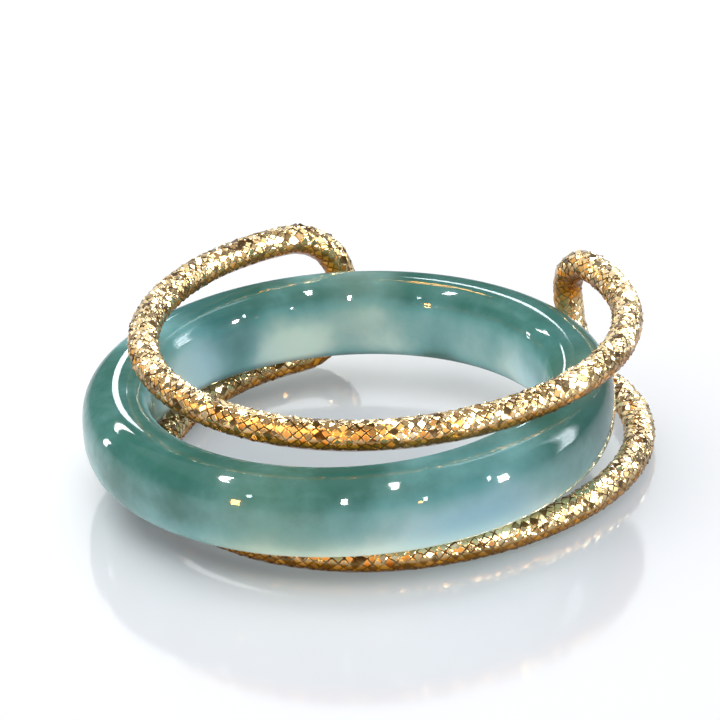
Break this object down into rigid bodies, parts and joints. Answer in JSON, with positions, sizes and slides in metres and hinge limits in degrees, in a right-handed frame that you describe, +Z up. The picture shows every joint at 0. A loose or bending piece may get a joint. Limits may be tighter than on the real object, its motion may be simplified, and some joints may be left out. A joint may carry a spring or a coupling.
{
  "type": "double ring",
  "caption": "Finger ring lying flat: a polished translucent blue-green stone band held between the open loops of one bent, textured gold wire.",
  "frame": {"origin": "on the surface that the ring lies on, under the middle of its box", "axes": "+Z up, along the finger hole; -Y to the front, where the wire crosses over the band; +Y to the back, where the wire's loops are open"},
  "size_m": [0.0248, 0.0248, 0.0068],
  "materials": {
    "stone": "polished, translucent, cloudy",
    "gold": "densely hammered and cut, bright"
  },
  "bodies": {
    "wire": {"wire_loops": "gold"},
    "band": {"stone_band": "stone"}
  },
  "joints": [
    {"name": "band_turn", "type": "hinge", "parent": "wire", "child": "band", "pos_m": [-0.00091, -0.00095, 0.00321], "axis": [-0.0216, -0.0112, 0.9997], "continuous": true}
  ]
}
